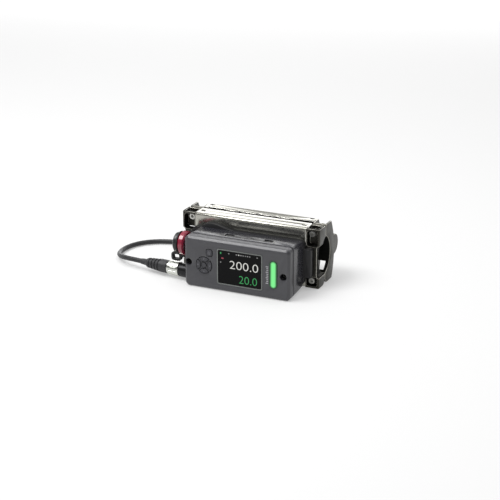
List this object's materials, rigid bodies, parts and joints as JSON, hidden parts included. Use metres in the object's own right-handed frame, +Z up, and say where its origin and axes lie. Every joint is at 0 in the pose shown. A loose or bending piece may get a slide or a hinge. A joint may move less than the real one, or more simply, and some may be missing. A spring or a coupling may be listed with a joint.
{
  "type": "flow sensor",
  "caption": "Clip-on flow sensor for a small pipe: colour display head with keys and a status light on a two-half steel pipe clamp, with a corded round connector.",
  "frame": {"origin": "on the floor under the middle of the sensor's box, without its cord", "axes": "+X along the pipe towards the status light, +Y from the display to the back of the clamp, +Z up"},
  "size_m": [0.2264, 0.1725, 0.0605],
  "materials": {
    "head_plastic": "fine moulded texture, charcoal",
    "body_plastic": "moulded, black",
    "key_rubber": "moulded silicone, dark grey",
    "seal_rubber": "moulded, black",
    "window_glass": "polished, black",
    "frame_metal": "satin",
    "status_green": "clear green, lit",
    "board": "solder mask, green",
    "component": "moulded, black",
    "lcd": "smooth, grey",
    "led_white": "moulded, white",
    "piezo": "potted block, cream",
    "couplant": "smooth, grey",
    "rail_steel": "brushed along the pipe",
    "cast_steel": "bead-blasted casting",
    "fastener_steel": "plain stainless",
    "pad_rubber": "moulded, black",
    "socket_black": "black zinc",
    "nickel": "satin nickel",
    "boot_rubber": "overmoulded, black",
    "cable_jacket": "extruded, black",
    "lead_insulation": "extruded, four colours",
    "tie_fabric": "woven strap, black",
    "seal_red": "glossy, dark red",
    "cap_plastic": "moulded, black"
  },
  "bodies": {
    "sensor": {"front_cover": "head_plastic", "rear_case": "head_plastic", "case_gasket": "seal_rubber", "latch_hooks": "body_plastic", "display_frame": "frame_metal", "display_window": "window_glass", "lcd_module": "lcd", "main_board": "board", "key_switches": "component", "status_lens": "status_green", "status_lights": "led_white", "head_screws": "fastener_steel", "sensor_body": "body_plastic", "link_connector": "component", "transducer_left": "piezo", "transducer_right": "piezo", "coupling_pad": "couplant", "front_channel": "rail_steel", "front_cheek_left": "cast_steel", "front_cheek_right": "cast_steel", "clamp_screws": "fastener_steel", "clamp_washers": "fastener_steel", "power_socket": "socket_black", "plug_body": "component", "plug_boot": "boot_rubber", "cable": "cable_jacket", "cable_coil": "cable_jacket", "cable_leads": "lead_insulation", "cable_tie": "tie_fabric", "port_seal": "seal_red", "aux_port": "socket_black", "cap_tether": "seal_rubber"},
    "rear_half": {"rear_channel": "rail_steel", "rear_cheek_left": "cast_steel", "rear_cheek_right": "cast_steel", "rear_pad": "pad_rubber", "clamp_nuts": "fastener_steel"},
    "key_up": {"key_up": "key_rubber"},
    "key_down": {"key_down": "key_rubber"},
    "key_left": {"key_left": "key_rubber"},
    "key_right": {"key_right": "key_rubber"},
    "key_enter": {"key_enter": "key_rubber"},
    "key_menu": {"key_menu": "key_rubber"},
    "coupling_nut": {"coupling_nut": "nickel"},
    "port_cap": {"port_cap": "cap_plastic"}
  },
  "joints": [
    {"name": "clamp_slide", "type": "slide", "parent": "sensor", "child": "rear_half", "axis": [0, 1, 0], "range_m": [0, 0.009]},
    {"name": "key_up_press", "type": "slide", "parent": "sensor", "child": "key_up", "axis": [0, 1, 0], "range_m": [0, 0.0005], "stiffness_N_per_m": 400, "springref_m": -0.0003},
    {"name": "key_down_press", "type": "slide", "parent": "sensor", "child": "key_down", "axis": [0, 1, 0], "range_m": [0, 0.0005], "stiffness_N_per_m": 400, "springref_m": -0.0003},
    {"name": "key_left_press", "type": "slide", "parent": "sensor", "child": "key_left", "axis": [0, 1, 0], "range_m": [0, 0.0005], "stiffness_N_per_m": 400, "springref_m": -0.0003},
    {"name": "key_right_press", "type": "slide", "parent": "sensor", "child": "key_right", "axis": [0, 1, 0], "range_m": [0, 0.0005], "stiffness_N_per_m": 400, "springref_m": -0.0003},
    {"name": "key_enter_press", "type": "slide", "parent": "sensor", "child": "key_enter", "axis": [0, 1, 0], "range_m": [0, 0.0005], "stiffness_N_per_m": 400, "springref_m": -0.0003},
    {"name": "key_menu_press", "type": "slide", "parent": "sensor", "child": "key_menu", "axis": [0, 1, 0], "range_m": [0, 0.0005], "stiffness_N_per_m": 400, "springref_m": -0.0003},
    {"name": "coupling_nut_turn", "type": "hinge", "parent": "sensor", "child": "coupling_nut", "pos_m": [-0.06969, -0.02991, 0.0088], "axis": [-0.9945, 0.1045, 0], "continuous": true},
    {"name": "port_cap_turn", "type": "hinge", "parent": "sensor", "child": "port_cap", "pos_m": [-0.065, -0.0274, 0.0361], "axis": [-1, 0, 0], "continuous": true}
  ]
}
